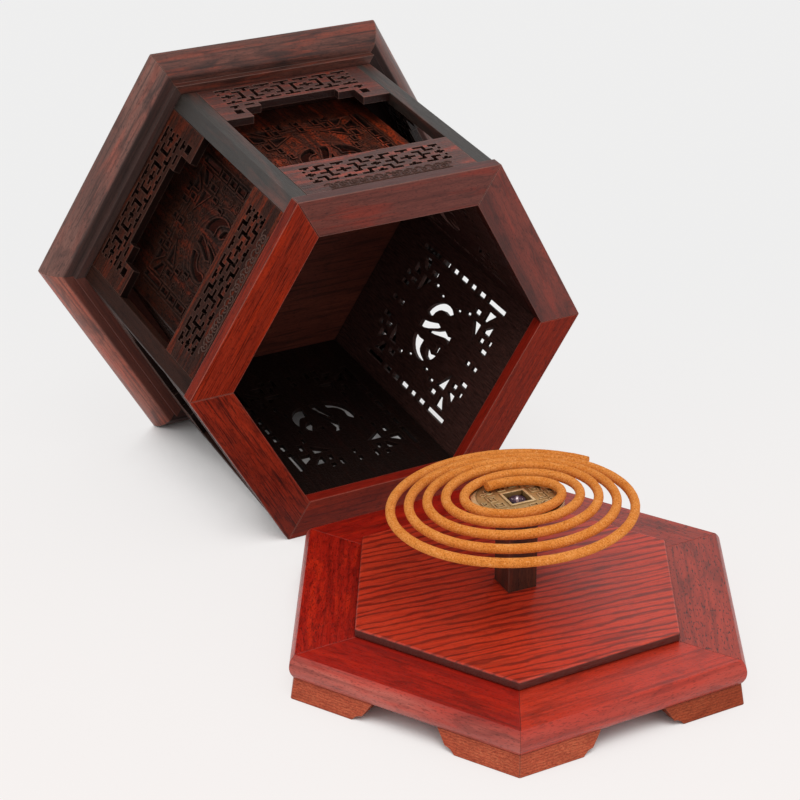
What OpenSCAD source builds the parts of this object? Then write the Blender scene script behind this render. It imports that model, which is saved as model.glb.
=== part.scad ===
// Hexagonal rosewood incense box: a footed base that carries an incense coil on a coin-shaped plate,
// and a pierced hood that has been lifted off and lies on one flat side behind it.
// The origin is on the floor at the centre of the base. +Z is up and one corner of the base points to -Y.
// The hood is described as it stands on the base, and lay_down() then tips it over to where it lies.

/* [Base] */
// Corner radius of the base's flat top
base_r = 77; // [62:0.1:95]
// Height of the base's top above the floor
base_h = 15.1; // [12.5:0.1:20]
// Height of the feet
foot_h = 7; // [5:0.1:9]
// How far the rounded side of a rail stands out past the top edge
bead_out = 1.6; // [1:0.1:2.5]
// Width of a rail on top, from its outer edge to the hidden board
rail_w = 22; // [18:0.5:27]
// Thickness of the hidden board
board_t = 5; // [4:0.1:6]
// Length of a foot's wing along the side, under the rail
foot_top_l = 27.6; // [22:0.1:30]
// Length of a foot's wing along the side, on the floor
foot_floor_l = 23.2; // [18:0.1:28]
// Thickness of a foot's wing
foot_t = 12; // [8:0.5:16]
// How far a foot's outer face leans out at the floor
foot_lean = 1.2; // [0:0.1:2.5]
// Rounding at the end of a foot, on the floor
foot_round = 2; // [1:0.1:2.6]

/* [Platform and post] */
// Thickness of the raised platform
platform_t = 3.1; // [2:0.1:5]
// Clearance between the platform's sides and the hood's mouth
platform_gap = 1.2; // [1:0.1:3]
// Width of the square post
post_w = 9.8; // [8:0.1:12]
// Height of the post above the platform
post_h = 28.6; // [20:0.1:36]
// Turn of the post about its own axis, in degrees
post_turn = 26; // [0:1:60]
// Diameter of the coin-shaped plate
coin_d = 29; // [24:0.1:36]
// Thickness of the coin-shaped plate at its rim
coin_t = 2; // [1.6:0.1:3]
// Width of the square hole in the plate
coin_hole = 6.9; // [5.6:0.1:8.4]
// Width of the raised rim round the plate's edge
rim_w = 1.6; // [1:0.1:2]
// Width of the raised rim round the plate's hole
hole_rim_w = 0.8; // [0.5:0.1:1.2]
// Height of the plate's raised rims
rim_h = 0.4; // [0.2:0.1:0.6]
// Diameter of the screw's head
screw_head_d = 5; // [4:0.1:5.5]
// Diameter of the screw's shank
screw_d = 2.6; // [2:0.1:3.2]
// Length of the screw's shank in the post
screw_l = 12; // [8:0.5:16]
// Radial clearance of the screw's shank in its pilot hole
screw_gap = 0.05; // [0.02:0.01:0.1]

/* [Incense coil] */
// Diameter of the incense stick
stick_d = 3; // [2.4:0.1:3.7]
// Number of turns outside the first crossing of +X
coil_turns = 4.84; // [3:0.01:5.5]
// Part of a turn inside the first crossing of +X
coil_tip = 0.39; // [0.2:0.01:0.45]
// Mean distance from one turn to the next
coil_pitch = 5.65; // [4.8:0.01:6.6]
// How far the first turn's centre line lies inside the plate's edge
coil_inset = 2.6; // [2:0.1:4]
// Half the difference between the coil's two widths, since it was wound slightly oval
coil_oval = 2.2; // [0:0.1:2.6]
// Direction of the coil's longer width, in degrees from +X
coil_oval_turn = 21; // [-90:1:90]
// How far the coil lies in front of the plate's centre
coil_forward = 2.6; // [0:0.1:3.5]
// How far each free turn sags below the turn inside it
coil_sag = 1.5; // [0:0.01:2]
// Clearance between the coil and the plate under it
coil_gap = 0.3; // [0.2:0.05:0.5]
// Gap between the inner tip and the turn beside it
tip_gap = 0.6; // [0.5:0.1:1]

/* [Hood] */
// Height of the hood
hood_h = 102.6; // [85:0.1:124]
// How far the hood's corner radius is smaller than the base's
wall_inset = 4; // [2:0.1:8]
// Width of the rails round the mouth
mouth_w = 13.5; // [11:0.1:16]
// Thickness of the rails round the mouth
mouth_t = 4.5; // [3.4:0.1:6]
// How far the mouth's rails stand out past the walls
mouth_proud = 0.6; // [0:0.1:1.5]
// Width of a corner post on each of its two faces
stile_w = 5.5; // [4.5:0.1:6.6]
// Thickness of a corner post
stile_t = 4.4; // [3.4:0.1:5.4]
// Thickness of a fret board
fret_t = 2.8; // [2.2:0.1:3.4]
// Height of the lower fret board
lower_fret_h = 22.2; // [19:0.1:25]
// Height of the upper fret board at its middle
upper_fret_h = 15.3; // [14.6:0.1:18]
// How far the first step of the upper fret board hangs down
step_h = 3; // [2.4:0.1:4]
// Width of the first step
step_w = 6.1; // [5:0.1:7.5]
// How far the ear of the upper fret board hangs below its middle
ear_h = 10.2; // [8.6:0.1:12.5]
// Width of the ear
ear_w = 10.2; // [9:0.1:12.5]

/* [Fretwork] */
// Width of the openings in the fret boards
slot_w = 1.35; // [1:0.05:1.5]
// Distance between the rows of openings
slot_row = 2.58; // [2.4:0.01:2.9]
// Margin between the openings and the board's ends
fret_margin = 5.6; // [4:0.1:7]
// Distance from the lower fret board's window edge to its first row of openings
lower_edge = 3.9; // [3:0.1:4.5]
// Distance from the upper fret board's window edge to its first row of openings
upper_edge = 2.5; // [2.2:0.1:3.2]

/* [Inner panels] */
// Thickness of an inner panel
panel_t = 1.2; // [1:0.1:2]
// How far an inner panel lies back from the mouth's inner edge
panel_back = 0.3; // [0:0.1:1]
// How far the middle of the pierced pattern lies below the middle of the window
motif_drop = 4; // [2:0.1:5]
// Half the width that the pierced pattern is drawn for, with its margin
motif_half = 26.2; // [25:0.1:31]

/* [Cornice] */
// Height of the cornice
cornice_h = 8.6; // [7:0.1:10.4]
// Height of the neck moulding under the cornice
neck_h = 2.5; // [1.5:0.1:4]
// How far the neck stands out past the walls
neck_out = 3; // [2:0.1:4.5]
// How far the cornice's lower edge stands out past the neck
cornice_out = 2.2; // [1:0.1:3.5]
// How far the cornice flares out from its lower edge to its lip
cornice_flare = 6.3; // [4:0.1:8]
// Thickness of the lip at the cornice's outer edge
lip_t = 0.6; // [0.4:0.1:1.2]
// How far the cornice's face bulges
cornice_bulge = 1; // [0.3:0.1:1.6]
// Thickness of the board that closes the hood
top_t = 5.8; // [4:0.1:6.4]
// How far that board lies below the cornice's top
top_recess = 0.8; // [0.4:0.1:1.5]

/* [Where the hood lies] */
// Distance from the base's centre to the centre of the lying hood's mouth, along the floor
set_back = 80.7; // [78:0.1:110]
// Direction in which the hood lies, seen from above, as a multiple of 60 degrees
heading = 120; // [60:60:300]
// Gap left between the hood's mouth and the base when the hood stands on it
seat_gap = 0.3; // [0.1:0.05:0.5]

/* [Hidden] */
SIDES = 6;

// Width of the hairline left at a mitre
seam = 0.04;
// Straight pieces that stand for an arc on a moulding
arc_steps = 12;
// Reach past anything on the object, for cutting shapes
far = 300;

// Base, from the outside in
base_ap = base_r * cos(30);
rail_in = base_ap - rail_w;
pinch_ap = base_ap + 0.3;
platform_z = base_h + platform_t;
coin_z = platform_z + post_h;
coin_top = coin_z + coin_t;
coin_r = coin_d / 2;

// Hood, from the outside in, with heights above its own mouth
wall_r = base_r - wall_inset;
wall_ap = wall_r * cos(30);
mouth_ap = wall_ap + mouth_proud;
mouth_in = mouth_ap - mouth_w;
platform_ap = mouth_in - platform_gap;
panel_in = mouth_in + panel_back;
panel_out = panel_in + panel_t;
neck_z = hood_h - cornice_h - neck_h;
cornice_z = hood_h - cornice_h;
neck_ap = wall_ap + neck_out;
cornice_ap = neck_ap + cornice_out;
lip_ap = cornice_ap + cornice_flare;
lip_z = hood_h - lip_t;
ceiling_z = hood_h - top_recess - top_t;
board_half = wall_ap * tan(30) - stile_w;
window_low = mouth_t + lower_fret_h;
window_high = neck_z - upper_fret_h;
motif_z = (window_low + window_high) / 2 - motif_drop;

// The lying hood touches the floor along one mouth rail and one lip
tilt = atan((lip_ap - mouth_ap) / lip_z);
tip_angle = 90 - tilt;
seat_z = base_h + seat_gap;
lying_z = mouth_ap * cos(tilt);
ahead = [cos(heading), sin(heading), 0];
tip_axis = [sin(heading), -cos(heading), 0];
hinge_out = set_back / 2 + (lying_z - seat_z) / (2 * tan(tip_angle / 2));
hinge_up = (lying_z + seat_z) / 2 - set_back / (2 * tan(tip_angle / 2));
hinge = hinge_out * ahead + [0, 0, hinge_up];
echo(hinge = hinge, tip_axis = tip_axis, tip_angle = tip_angle);

// Points of an arc from p to q that swells to the right of that direction by h
function arc(p, q, h, steps) =
    let (
        chord = norm(q - p),
        r = (chord * chord / 4 + h * h) / (2 * h),
        along = (q - p) / chord,
        out = [along[1], -along[0]],
        centre = (p + q) / 2 - out * (r - h),
        half = asin(chord / (2 * r)))
    [for (i = [0:steps]) let (a = half * (2 * i / steps - 1)) centre + r * (cos(a) * out + sin(a) * along)];

// Turns +X to the outward direction of a side or of a corner
module side(i) rotate(60 * (i - 1)) children();
module corner(i) rotate(60 * (i - 1) + 30) children();

// A moulding along one side, from a profile drawn as distance from the axis and height, mitred at both ends
module mitred(i)
    side(i) intersection() {
        rotate([90, 0, 0]) linear_extrude(far, center = true) children();
        translate([seam, 0, -far / 2]) linear_extrude(far)
            polygon([[0, 0], [far, -far * tan(30)], [far, far * tan(30)]]);
    }

// A flat board that faces outward, from an outline drawn across and up as seen from outside
module board(ap, t) translate([ap - t, 0, 0]) rotate([90, 0, 90]) linear_extrude(t) children();

// A six-sided prism with the base's corners, by the distance to its flat sides
module hexagon(ap, h) rotate(30) cylinder(r = ap / cos(30), h = h, $fn = 6);

// Carries the hood from where it stands on the base to where it lies
module lay_down()
    translate(hinge) rotate(a = -tip_angle, v = tip_axis) translate(-hinge)
        translate([0, 0, seat_z]) children();

// Base

module base_rail(i) color([0.62, 0.17, 0.10])
    mitred(i) polygon(concat(
        [[rail_in, base_h], [rail_in, foot_h]],
        arc([pinch_ap, foot_h], [base_ap, base_h], bead_out, arc_steps)));

// One wing of a foot, at the +Y end of a side that faces +X
module foot_wing() {
    corner_y = pinch_ap * tan(30);
    floor_y = corner_y - foot_floor_l;
    top_y = corner_y - foot_top_l;
    lean = (floor_y - top_y) / foot_h;
    intersection() {
        rotate([90, 0, 0]) linear_extrude(far, center = true)
            polygon([
                [pinch_ap - foot_t, 0], [pinch_ap + foot_lean, 0], [pinch_ap, foot_h],
                [pinch_ap - foot_t, foot_h]]);
        rotate([90, 0, 90]) linear_extrude(far)
            polygon(concat(
                [[far, 0], [far, foot_h], [top_y, foot_h]],
                arc(
                    [floor_y - lean * foot_round, foot_round], [floor_y + foot_round, 0],
                    -foot_round * 0.25, 4)));
        translate([seam, 0, 0]) linear_extrude(far) polygon([[0, 0], [far, 0], [far, far * tan(30)]]);
    }
}

module foot(i) color([0.60, 0.30, 0.20]) {
    side(i) foot_wing();
    side(i + 1) mirror([0, 1, 0]) foot_wing();
}

module base_board() color([0.45, 0.18, 0.12]) translate([0, 0, base_h - board_t]) hexagon(rail_in, board_t);

module platform() color([0.66, 0.22, 0.13]) translate([0, 0, base_h]) hexagon(platform_ap, platform_t);

module post() color([0.22, 0.11, 0.08])
    translate([0, 0, platform_z]) rotate(post_turn) difference() {
        translate([-post_w / 2, -post_w / 2, 0]) cube([post_w, post_w, post_h]);
        translate([0, 0, post_h - screw_l]) cylinder(d = screw_d + 2 * screw_gap, h = screw_l + 1, $fn = 32);
    }

// The plate has a raised rim round its edge and another round its square hole
module coin_plate() color([0.55, 0.48, 0.25])
    translate([0, 0, coin_z]) rotate(post_turn) difference() {
        cylinder(d = coin_d, h = coin_t, $fn = 64);
        translate([0, 0, coin_t - rim_h]) difference() {
            cylinder(r = coin_r - rim_w, h = coin_t, $fn = 64);
            translate([0, 0, -coin_t]) linear_extrude(3 * coin_t)
                square(coin_hole + 2 * hole_rim_w, center = true);
        }
        translate([0, 0, -coin_t]) linear_extrude(3 * coin_t) square(coin_hole, center = true);
    }

// The screw's head sits in the square hole, on the post, and has a crossed slot
module coin_screw() {
    head_t = coin_t * 0.6;
    color([0.75, 0.68, 0.66]) translate([0, 0, coin_z]) difference() {
        union() {
            cylinder(d = screw_head_d, h = head_t, $fn = 32);
            translate([0, 0, -screw_l + 0.5]) cylinder(d = screw_d, h = screw_l, $fn = 32);
        }
        for (a = [0, 90]) rotate(a) translate([-screw_head_d * 0.35, -0.35, head_t / 2])
            cube([screw_head_d * 0.7, 0.7, head_t]);
    }
}

// Incense coil, wound clockwise from the inside out as seen from above

stick_r = stick_d / 2;
coil_first = coin_r - coil_inset;
coil_rings = 24;
coil_sides = 6;
// Turns that lie flat on the plate before the coil is clear of its edge
flat_turns = max(0, (coin_r + stick_r + coil_gap - coil_first + coil_oval + coil_forward) / coil_pitch);
// The tip runs back out until it nearly meets the turn beside it
tip_radius = coil_first + coil_pitch * (1 - coil_tip) - stick_d - tip_gap;
tip_flare = (tip_radius - coil_first + coil_pitch * coil_tip) / (coil_tip * coil_tip);
function coil_mean(t) = coil_first + coil_pitch * t + (t < 0 ? tip_flare * t * t : 0);
function coil_drop(t) = coil_sag * max(0, t - flat_turns);
function coil_point(t) =
    let (a = -360 * t, b = 2 * coil_oval_turn - a)
    [coil_mean(t) * cos(a) + coil_oval * cos(b),
     coil_mean(t) * sin(a) + coil_oval * sin(b) - coil_forward,
     coin_top + coil_gap + stick_r - coil_drop(t)];
coil_length = coil_turns + coil_tip;
coil_steps = round(coil_length * coil_rings);
coil_line = [for (i = [0:coil_steps]) coil_point(-coil_tip + coil_length * i / coil_steps)];
function unit(v) = v / norm(v);
function heading_at(i) = unit(coil_line[min(i + 1, coil_steps)] - coil_line[max(i - 1, 0)]);
function coil_ring(i) =
    let (
        along = heading_at(i),
        out = unit(cross(along, [0, 0, 1])),
        up = cross(out, along))
    [for (j = [0:coil_sides - 1]) let (a = 360 * j / coil_sides)
        coil_line[i] + stick_r * (cos(a) * out + sin(a) * up)];
// Least gap between any ring's centre and those at least half a turn further on, less one diameter
coil_least_gap = min([for (i = [0:coil_steps]) for (j = [i + coil_rings / 2:coil_steps])
    norm(coil_line[j] - coil_line[i])]) - stick_d;
echo(coil_least_gap = coil_least_gap);

module incense_coil() color([0.87, 0.56, 0.25])
    polyhedron(
        points = [for (i = [0:coil_steps]) each coil_ring(i)],
        faces = concat(
            [for (j = [1:coil_sides - 2]) [0, j, j + 1]],
            [for (i = [0:coil_steps - 1]) for (j = [0:coil_sides - 1])
                let (a = i * coil_sides + j, b = i * coil_sides + (j + 1) % coil_sides)
                each [[a, a + coil_sides, b], [b, a + coil_sides, b + coil_sides]]],
            [for (j = [1:coil_sides - 2]) let (k = coil_steps * coil_sides) [k, k + j + 1, k + j]]));

// Hood

module mouth_rail(i) color([0.52, 0.16, 0.12])
    lay_down() mitred(i) polygon([[mouth_in, 0], [mouth_ap, 0], [mouth_ap, mouth_t], [mouth_in, mouth_t]]);

// A corner post is bent round the corner, with one leg on each face
module corner_post(i) color([0.30, 0.18, 0.15]) {
    edge = [wall_r, 0] + stile_w * [cos(120), sin(120)];
    back = edge - stile_t * [cos(30), sin(30)];
    lay_down() translate([0, 0, mouth_t]) corner(i) linear_extrude(neck_z - mouth_t)
        polygon([
            [wall_r, 0], edge, back, [(wall_ap - stile_t) / cos(30), 0],
            [back[0], -back[1]], [edge[0], -edge[1]]]);
}

// The openings of the key fret, each round its own centre. A T has a short stem of length d under its bar.
half_slot = slot_w / 2;
module tee(l, d)
    polygon([
        [-l, half_slot], [-l, -half_slot], [-half_slot, -half_slot], [-half_slot, -half_slot - d],
        [half_slot, -half_slot - d], [half_slot, -half_slot], [l, -half_slot], [l, half_slot]]);

module cross_cut(l, h)
    polygon([
        [-l, half_slot], [-l, -half_slot], [-half_slot, -half_slot], [-half_slot, -h], [half_slot, -h],
        [half_slot, -half_slot], [l, -half_slot], [l, half_slot], [half_slot, half_slot], [half_slot, h],
        [-half_slot, h], [-half_slot, half_slot]]);

// A bracket opens to +X over three rows, and may have a prong of length p to -X
module bracket(l, p) {
    h = slot_row + half_slot;
    prong = p < half_slot ? [] :
        [[-half_slot, -half_slot], [-p, -half_slot], [-p, half_slot], [-half_slot, half_slot]];
    polygon(concat([
        [-half_slot, h], [l, h], [l, h - slot_w], [half_slot, h - slot_w],
        [half_slot, slot_w - h], [l, slot_w - h], [l, -h], [-half_slot, -h]], prong));
}

// A Z runs from the outer row down to the next row
module zed(l, p)
    polygon([
        [-half_slot, 2 * slot_row + half_slot], [l, 2 * slot_row + half_slot], [l, 2 * slot_row - half_slot],
        [half_slot, 2 * slot_row - half_slot], [half_slot, slot_row - half_slot], [-p, slot_row - half_slot],
        [-p, slot_row + half_slot], [-half_slot, slot_row + half_slot]]);

// What closes both patterns at their ends, in the rows beside the middle one
module end_cuts(w) for (s = [-1, 1]) for (m = [-1, 1])
    translate([s * (w / 2 - 0.55), m * slot_row]) square([1.1, slot_w], center = true);

// Key fret over the width w, with its middle row at y = 0, in two and two half cells that mirror each other
module wide_fret(w) {
    cell = w * 0.2327;
    for (k = [-2:2]) translate([k * cell, 0]) {
        odd = k % 2 != 0;
        cross_cut(cell * (odd ? 0.24 : 0.155), odd ? slot_w * 1.25 : slot_w * 0.95);
        for (m = [0, 1]) mirror([0, m]) translate([0, 2 * slot_row])
            tee(cell * (odd ? 0.2 : 0.15), slot_w * 0.6);
    }
    for (s = [0, 1]) mirror([s, 0]) for (k = [0, 1]) translate([k * 2 * cell, 0]) mirror([k, 0]) {
        translate([cell * 0.572, 0]) bracket(cell * 0.22, cell * 0.288);
        for (m = [0, 1]) mirror([0, m]) translate([cell * 0.335, 0]) zed(cell * 0.3, cell * 0.25);
    }
    end_cuts(w);
}

// A closer key fret over the width w, where the cells have no Z
module close_fret(w) {
    cell = w * 0.146;
    for (k = [-3:3]) translate([k * cell, 0]) {
        odd = k % 2 != 0;
        for (m = [0, 1]) mirror([0, m]) translate([0, 2 * slot_row])
            tee(cell * 0.395, slot_w * (odd ? 0.6 : 1.6));
        if (odd) cross_cut(cell * 0.35, slot_w * 1.15);
        else for (s = [0, 1]) mirror([s, 0]) translate([cell * 0.335, 0]) bracket(cell * 0.36, 0);
    }
    end_cuts(w);
}

fret_w = 2 * (board_half - fret_margin);

module lower_fret(i) color([0.45, 0.17, 0.12])
    lay_down() side(i) board(wall_ap, fret_t) translate([0, mouth_t]) difference() {
        translate([-board_half, 0]) square([2 * board_half, lower_fret_h]);
        translate([0, lower_fret_h - lower_edge - 2 * slot_row]) wide_fret(fret_w);
    }

module upper_fret(i) color([0.45, 0.17, 0.12]) {
    ear_x = board_half - ear_w;
    step_x = ear_x - step_w;
    ear_row = -0.4 * slot_w;
    ear_end = fret_w / 2;
    lay_down() side(i) board(wall_ap, fret_t) translate([0, window_high]) difference() {
        polygon([
            [-board_half, upper_fret_h], [-board_half, -ear_h], [-ear_x, -ear_h], [-ear_x, -step_h],
            [-step_x, -step_h], [-step_x, 0], [step_x, 0], [step_x, -step_h],
            [ear_x, -step_h], [ear_x, -ear_h], [board_half, -ear_h], [board_half, upper_fret_h]]);
        translate([0, upper_edge + 2 * slot_row]) close_fret(fret_w);
        for (s = [0, 1]) mirror([s, 0]) {
            translate([ear_x - step_w * 0.45, ear_row]) square([step_w * 0.6, slot_w], center = true);
            translate([ear_end - 1.75, ear_row]) tee(1.75, slot_w * 0.8);
            translate([ear_end - 1.5, -ear_h * 0.49]) square([3, ear_h * 0.33], center = true);
        }
    }
}

// Piercings of one quarter of an inner panel, as distances across and up from the pattern's middle
module panel_quarter() {
    for (b = [
            [22.5, 6.35, 1.9, 3.9], [22.5, 12.7, 1.9, 4.6], [22.5, 22.95, 1.9, 11.9],
            [16.7, 15.45, 1.9, 3.9], [14, 11.6, 1.2, 3], [12.3, 6.1, 1, 2.9],
            [9.65, 24.6, 1.8, 3.2], [6.9, 28.35, 1.7, 4.3], [10.7, 29.4, 1.9, 2.4]])
        translate([b[0], b[1]]) square([b[2], b[3]], center = true);
    polygon([[13.8, 20.6], [13.8, 15.5], [7.1, 20.6]]);
    polygon([[15.7, 20], [19.8, 20], [19.8, 25.6], [17, 23.2], [15.7, 22.4]]);
    polygon([[12.3, 27.4], [16.6, 27.4], [13.2, 23], [12.3, 23]]);
}

// Piercings of the roundel: two crescents, two slanted bars, a hook and the dash that ends it
module roundel() {
    polygon([
        [4.4, 8.8], [5.4, 9.1], [7.1, 8.5], [8.6, 7.3], [9.8, 5.8], [10.7, 4], [11.3, 2], [11.4, 0],
        [11.2, -1.6], [10.7, -2.9], [10.3, -1.8], [9.8, -0.2], [9.1, 1.3], [8.3, 2.2], [7.2, 2.6],
        [4.9, 2.6], [5.1, 5.6]]);
    polygon([
        [-4.2, 9.3], [-5.8, 8.8], [-7.4, 7.8], [-8.8, 6.4], [-9.9, 4.8], [-10.7, 3], [-11.1, 1.1],
        [-11.3, -1], [-11, -2.9], [-9.9, -4.9], [-8.7, -3.6], [-8.3, -2.2], [-8.5, -0.6], [-8.6, 0.6],
        [-8.2, 2.1], [-7.4, 3.4], [-6, 4.5], [-4.1, 5.1], [-3.7, 7.8]]);
    polygon([
        [1.7, 9.2], [-0.9, 9.2], [-1.4, 6.3], [-3.7, 0.1], [-3, -2.1], [-2.2, -1.2], [0.3, 3.6],
        [1.7, 7.6]]);
    polygon([
        [1.2, 2.9], [0.6, 2.6], [-1.1, -1.2], [-3.4, -5], [-2.3, -8.2], [-2.9, -9.9], [0.1, -10.4],
        [-1, -8.4], [-0.8, -5.4], [0.9, 0.6]]);
    polygon([
        [5.6, -0.7], [7.3, -1.3], [8.6, -2.3], [9.1, -4], [8.9, -5.6], [7.8, -6.8], [6.3, -7.5], [6.4, -6.4],
        [6.9, -4.9], [6.3, -3.4], [5.4, -1.9]]);
    polygon([[2.9, -7.6], [5.3, -7.5], [5.3, -5.5], [2.9, -5.4]]);
}

module inner_panel(i) color([0.33, 0.15, 0.12]) {
    half = panel_in * tan(30);
    room = min((half - 3) / motif_half, (window_high - window_low) / 49.5);
    lay_down() intersection() {
        side(i) board(panel_out, panel_t) difference() {
            translate([-half - panel_t, mouth_t]) square([2 * (half + panel_t), ceiling_z - mouth_t]);
            translate([0, motif_z]) scale([room, room]) {
                for (mx = [0, 1]) for (my = [0, 1]) mirror([mx, 0]) mirror([0, my]) panel_quarter();
                for (s = [-1, 1]) {
                    translate([22.5 * s, 0]) square([1.9, 5.2], center = true);
                    translate([0, 24.35 * s]) square([1.7, 2.9], center = true);
                    translate([0, 29.2 * s]) square([1.7, 3], center = true);
                }
                roundel();
            }
        }
        side(i) translate([seam, 0, 0]) linear_extrude(far)
            polygon([[0, 0], [far, -far * tan(30)], [far, far * tan(30)]]);
    }
}

module cornice_rail(i) color([0.50, 0.16, 0.11])
    lay_down() mitred(i) polygon(concat(
        [[panel_out, hood_h], [panel_out, neck_z], [neck_ap, neck_z], [neck_ap, cornice_z]],
        arc([cornice_ap, cornice_z], [lip_ap, lip_z], cornice_bulge, arc_steps),
        [[lip_ap, hood_h]]));

module top_panel() color([0.35, 0.14, 0.10])
    lay_down() translate([0, 0, ceiling_z]) hexagon(panel_out, top_t);

for (i = [1:SIDES]) base_rail(i);
for (i = [1:SIDES]) foot(i);
base_board();
platform();
post();
coin_plate();
coin_screw();
incense_coil();
for (i = [1:SIDES]) mouth_rail(i);
for (i = [1:SIDES]) corner_post(i);
for (i = [1:SIDES]) lower_fret(i);
for (i = [1:SIDES]) upper_fret(i);
for (i = [1:SIDES]) inner_panel(i);
for (i = [1:SIDES]) cornice_rail(i);
top_panel();
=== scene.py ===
# %% [markdown]
# A hexagonal rosewood incense box, as a lesson. The box comes in two halves. The base stands in front and carries
# a post, a coin-shaped brass plate and a coil of incense. The pierced hood has been lifted off and lies behind it.
# The construction model gives every board its true shape. Here the boards get softened edges and wood, and the
# pieces that a board-by-board model can't show are added: the extruded coil, the plate's relief and the carving.

# %% Load the frame
import bpy
from math import cos, pi, radians, sin
from mathutils import Matrix, Vector
from mathutils.bvhtree import BVHTree


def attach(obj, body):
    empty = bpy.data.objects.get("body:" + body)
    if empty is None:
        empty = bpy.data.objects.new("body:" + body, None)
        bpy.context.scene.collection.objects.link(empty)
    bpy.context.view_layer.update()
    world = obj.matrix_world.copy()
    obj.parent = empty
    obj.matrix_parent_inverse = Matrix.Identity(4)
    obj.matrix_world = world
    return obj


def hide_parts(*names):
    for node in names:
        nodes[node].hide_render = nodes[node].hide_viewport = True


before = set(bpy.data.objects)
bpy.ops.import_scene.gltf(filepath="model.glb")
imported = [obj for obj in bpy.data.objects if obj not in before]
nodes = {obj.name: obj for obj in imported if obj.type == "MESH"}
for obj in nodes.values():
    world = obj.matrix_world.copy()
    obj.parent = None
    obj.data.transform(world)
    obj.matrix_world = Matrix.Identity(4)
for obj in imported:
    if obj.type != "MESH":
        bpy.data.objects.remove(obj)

MM = 0.001
SIDES = range(1, 7)
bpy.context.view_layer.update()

# %% [markdown]
# Some helpers are used all through. The first deselects everything before it selects what an operator works on,
# because the loaded boards arrive selected. The second turns a hex colour, as a paint chart gives it, to the
# linear colour that Blender renders with. The third starts a material with an empty node tree, and the fourth
# adds one node with its settings and links. The last one lays a finished piece down: its place goes into its
# mesh, so its object ends at the origin.

# %% Helpers
def pick(*objects):
    bpy.ops.object.select_all(action="DESELECT")
    for one in objects:
        one.select_set(True)
    bpy.context.view_layer.objects.active = objects[0]


def colour(code):
    parts = [int(code[k:k + 2], 16) / 255 for k in (1, 3, 5)]
    return (*[c / 12.92 if c <= 0.04045 else ((c + 0.055) / 1.055) ** 2.4 for c in parts], 1.0)


def new_material(name):
    made = bpy.data.materials.new(name)
    made.use_nodes = True
    made.node_tree.nodes.clear()
    return made, made.node_tree


def add(tree, kind, inputs=None, **settings):
    made = tree.nodes.new(kind)
    for name, value in settings.items():
        setattr(made, name, value)
    for socket, value in (inputs or {}).items():
        if isinstance(value, bpy.types.NodeSocket):
            tree.links.new(value, made.inputs[socket])
        else:
            made.inputs[socket].default_value = value
    return made


def finish(piece, name, body):
    pick(piece)
    bpy.ops.object.transform_apply(location=True, rotation=True, scale=True)
    piece.name = piece.data.name = name
    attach(piece, body)
    print(name, len(piece.data.polygons), "faces")


print("a middle grey, #808080, is", round(colour("#808080")[0], 3), "in linear light")

# %% [markdown]
# The photograph was taken with a long lens, from a little above: the camera stands 0.6 m in front of the box and
# 0.37 m up, and looks down by 26 degrees. Its place was worked out from the corners of both halves.

# %% Camera
LENS_PX, PICTURE_PX, SENSOR = 2219.4, 800, 36
NEAREST, FARTHEST = 0.01, 20
CAMERA_AT = Vector((-20.30, -601.06, 373.96)) * MM
RIGHT = Vector((0.99967, 0.02551, -0.00138)).normalized()
AHEAD = Vector((-0.02354, 0.89889, -0.43754)).normalized()
UP = RIGHT.cross(AHEAD)
camera_data = bpy.data.cameras.new("camera")
camera_data.sensor_width = SENSOR
camera_data.lens = LENS_PX / PICTURE_PX * SENSOR
camera_data.clip_start, camera_data.clip_end = NEAREST, FARTHEST
camera = bpy.data.objects.new("camera", camera_data)
bpy.context.scene.collection.objects.link(camera)
turn = Matrix((RIGHT, UP, -AHEAD)).transposed().to_4x4()
camera.matrix_world = Matrix.Translation(CAMERA_AT) @ turn
bpy.context.scene.camera = camera
print("lens", round(camera_data.lens, 2), "mm")

# %% [markdown]
# Every board is described by three directions: along its grain, across it, and out of its face. The hood's boards
# are first described as they stand on the base, where the directions are simple. Then they are tipped over with
# the hood, about the hinge that the construction model uses. On the standing box side 1 faces right, and the sides
# count round anticlockwise, as seen from above. On the lying hood side 6 faces up.

# %% Directions
HINGE = Vector((-33.542, 58.0964, -5.46238)) * MM
TIP_AXIS = Vector((sin(radians(120)), -cos(radians(120)), 0))
TIP_ANGLE = radians(83.9004)
SEAT = 15.4 * MM
Z = Vector((0, 0, 1))
tipped = Matrix.Translation(HINGE) @ Matrix.Rotation(-TIP_ANGLE, 4, TIP_AXIS) @ Matrix.Translation(-HINGE)
tipped = tipped @ Matrix.Translation((0, 0, SEAT))


def outward(side):
    angle = radians(60 * (side - 1))
    return Vector((cos(angle), sin(angle), 0))


def sideways(side):
    return Z.cross(outward(side))


def laid(direction):
    return tipped.to_3x3() @ direction


def hood_level(height):
    return (tipped @ Vector((0, 0, height * MM))).dot(laid(Z))


print("the hood's mouth faces", tuple(round(c, 3) for c in laid(-Z)))

# %% [markdown]
# A product like this is photographed on a sheet of white paper under a wide, soft light. The paper is a plain
# floor, and the light is an even white sky, which also gives the wax something white to reflect. A camera sees the
# paper a little brighter than its light makes it, as on an overexposed sheet, so shadows stay faint, except where
# the paper is covered almost all round, as between the feet and under the hood. An Ambient Occlusion node finds
# those places, and mixes the glow back to plain lit paper there.

# %% Paper floor
PAPER_SIZE, PAPER_NEAR, PAPER_FAR = 12, -0.15, 0.35
GLOW_SHARE, COVER_REACH, COVERED, OPEN = 0.88, 60 * MM, 0.20, 0.52


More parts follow.
